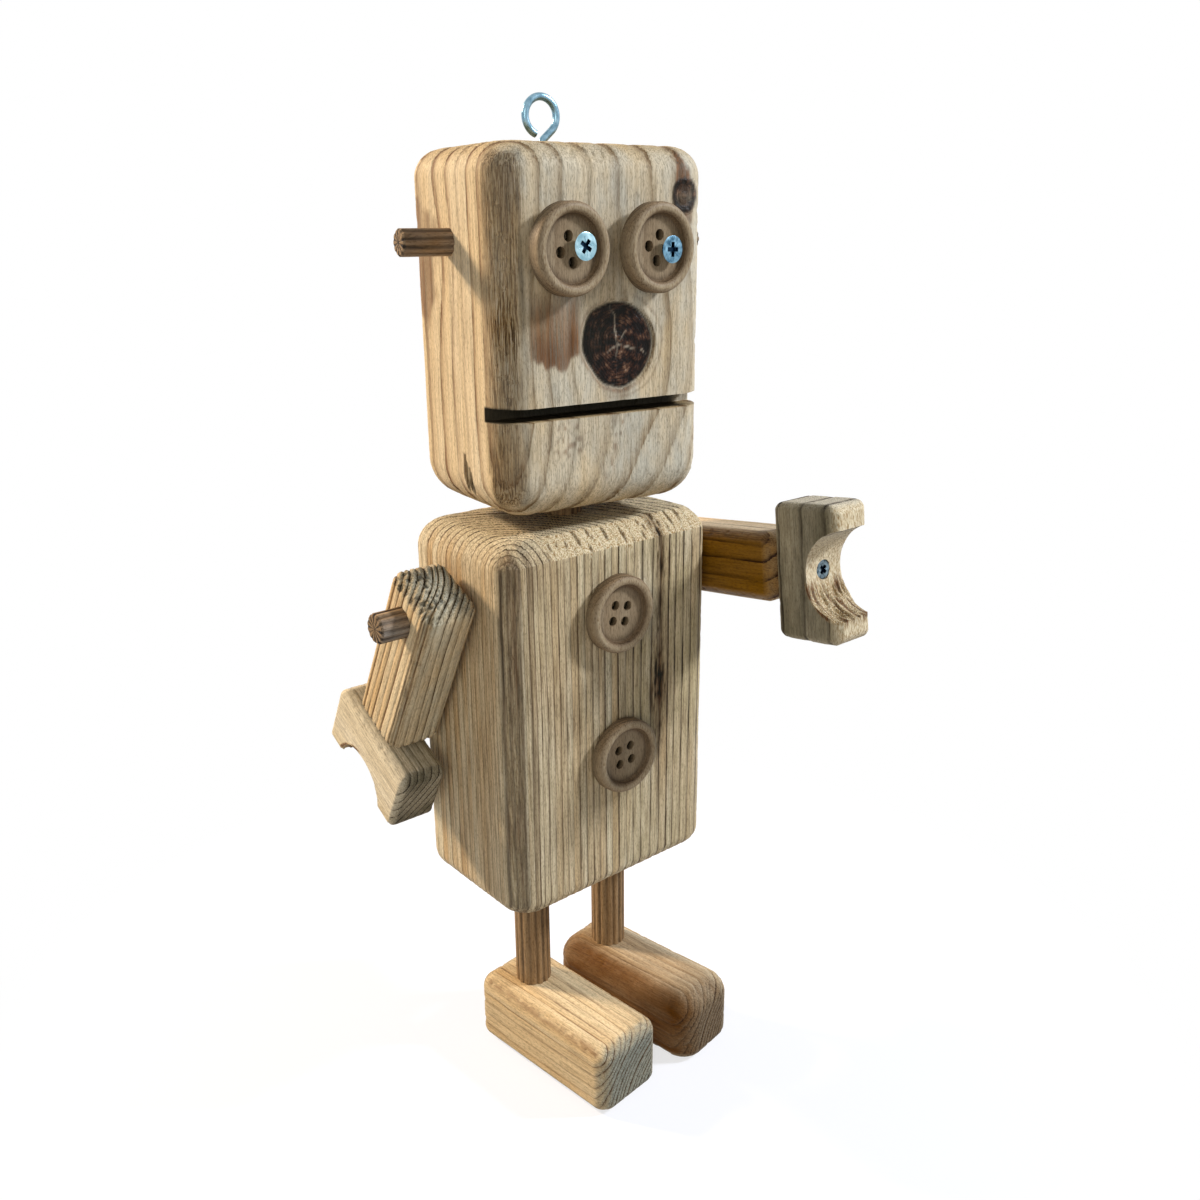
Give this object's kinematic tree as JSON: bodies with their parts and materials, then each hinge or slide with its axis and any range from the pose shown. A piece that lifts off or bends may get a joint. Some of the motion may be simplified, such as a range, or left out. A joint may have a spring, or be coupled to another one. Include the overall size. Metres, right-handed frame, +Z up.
{
  "type": "wooden robot toy",
  "caption": "Wooden robot toy of sanded pine blocks with button eyes, sawn mouth and screw-eye hanger; head and legs turn, arms swing on a dowel.",
  "frame": {"origin": "on the surface the toy stands on, under the axis of the neck dowel", "axes": "+Z up, -Y the way the robot faces, +X to the robot's own left"},
  "size_m": [0.1368, 0.1266, 0.3082],
  "materials": {
    "pine": "sanded and oiled, weathered",
    "warm_pine": "sanded and oiled",
    "dowel": "fluted, stained",
    "turned_button": "turned, satin",
    "zinc_plated_steel": "zinc plated"
  },
  "bodies": {
    "torso": {"torso_block": "pine", "upper_chest_button": "turned_button", "lower_chest_button": "turned_button", "neck_dowel": "dowel", "shoulder_dowel": "dowel"},
    "head": {"head_block": "pine", "right_ear_peg": "dowel", "left_ear_peg": "dowel", "right_eye_button": "turned_button", "left_eye_button": "turned_button", "right_eye_screw": "zinc_plated_steel", "left_eye_screw": "zinc_plated_steel", "hanging_screw_eye": "zinc_plated_steel"},
    "right_arm": {"right_arm_block": "warm_pine", "right_hand": "pine", "right_hand_screw": "zinc_plated_steel"},
    "left_arm": {"left_arm_block": "warm_pine", "left_hand": "pine", "left_hand_screw": "zinc_plated_steel"},
    "right_leg": {"right_leg_dowel": "dowel", "right_foot": "warm_pine"},
    "left_leg": {"left_leg_dowel": "dowel", "left_foot": "warm_pine"}
  },
  "joints": [
    {"name": "head_turn", "type": "hinge", "parent": "torso", "child": "head", "pos_m": [0, 0, 0.1946], "axis": [0, 0, 1], "continuous": true},
    {"name": "right_shoulder", "type": "hinge", "parent": "torso", "child": "right_arm", "pos_m": [-0.05105, -0.002, 0.1672], "axis": [1, 0, 0], "continuous": true},
    {"name": "left_shoulder", "type": "hinge", "parent": "torso", "child": "left_arm", "pos_m": [0.05105, -0.002, 0.1672], "axis": [1, 0, 0], "continuous": true},
    {"name": "right_leg_turn", "type": "hinge", "parent": "torso", "child": "right_leg", "pos_m": [-0.01475, 0.0023, 0.0702], "axis": [0, 0, 1], "range_deg": [-90, 3]},
    {"name": "left_leg_turn", "type": "hinge", "parent": "torso", "child": "left_leg", "pos_m": [0.01935, 0.0023, 0.0702], "axis": [0, 0, 1], "range_deg": [-3, 90]}
  ]
}
